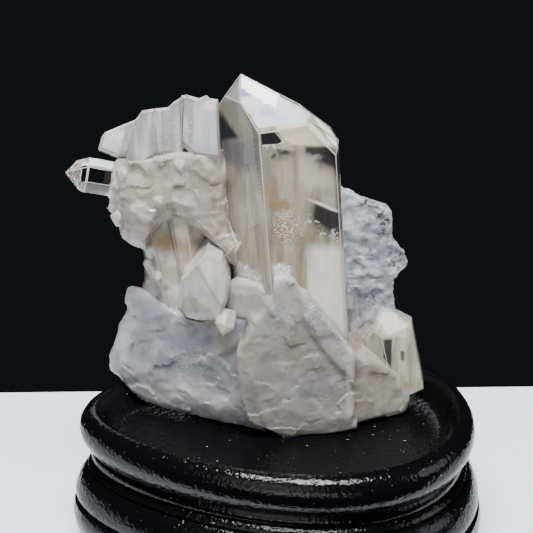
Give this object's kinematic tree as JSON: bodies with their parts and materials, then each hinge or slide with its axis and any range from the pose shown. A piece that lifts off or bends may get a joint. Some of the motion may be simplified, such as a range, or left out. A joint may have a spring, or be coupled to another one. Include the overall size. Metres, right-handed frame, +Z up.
{
  "type": "lemurian quartz cluster on a lacquered wooden stand",
  "caption": "Pale quartz cluster with a tall clear-tipped crystal, milky base blocks and side crystals, resting in the dished top of an oval black lacquered stand.",
  "frame": {"origin": "middle of the stand's underside", "axes": "+Z up, +X along the stand from its pointed end to its blunt one, +Y away from the cluster's best side"},
  "size_m": [0.1248, 0.0848, 0.1487],
  "materials": {
    "quartz": "clear to milky natural quartz with flat glossy crystal faces and frosted breaks",
    "black_lacquer": "glossy black lacquer with fine dust"
  },
  "bodies": {
    "root": {"quartz_cluster": "quartz", "display_stand": "black_lacquer"}
  },
  "joints": []
}
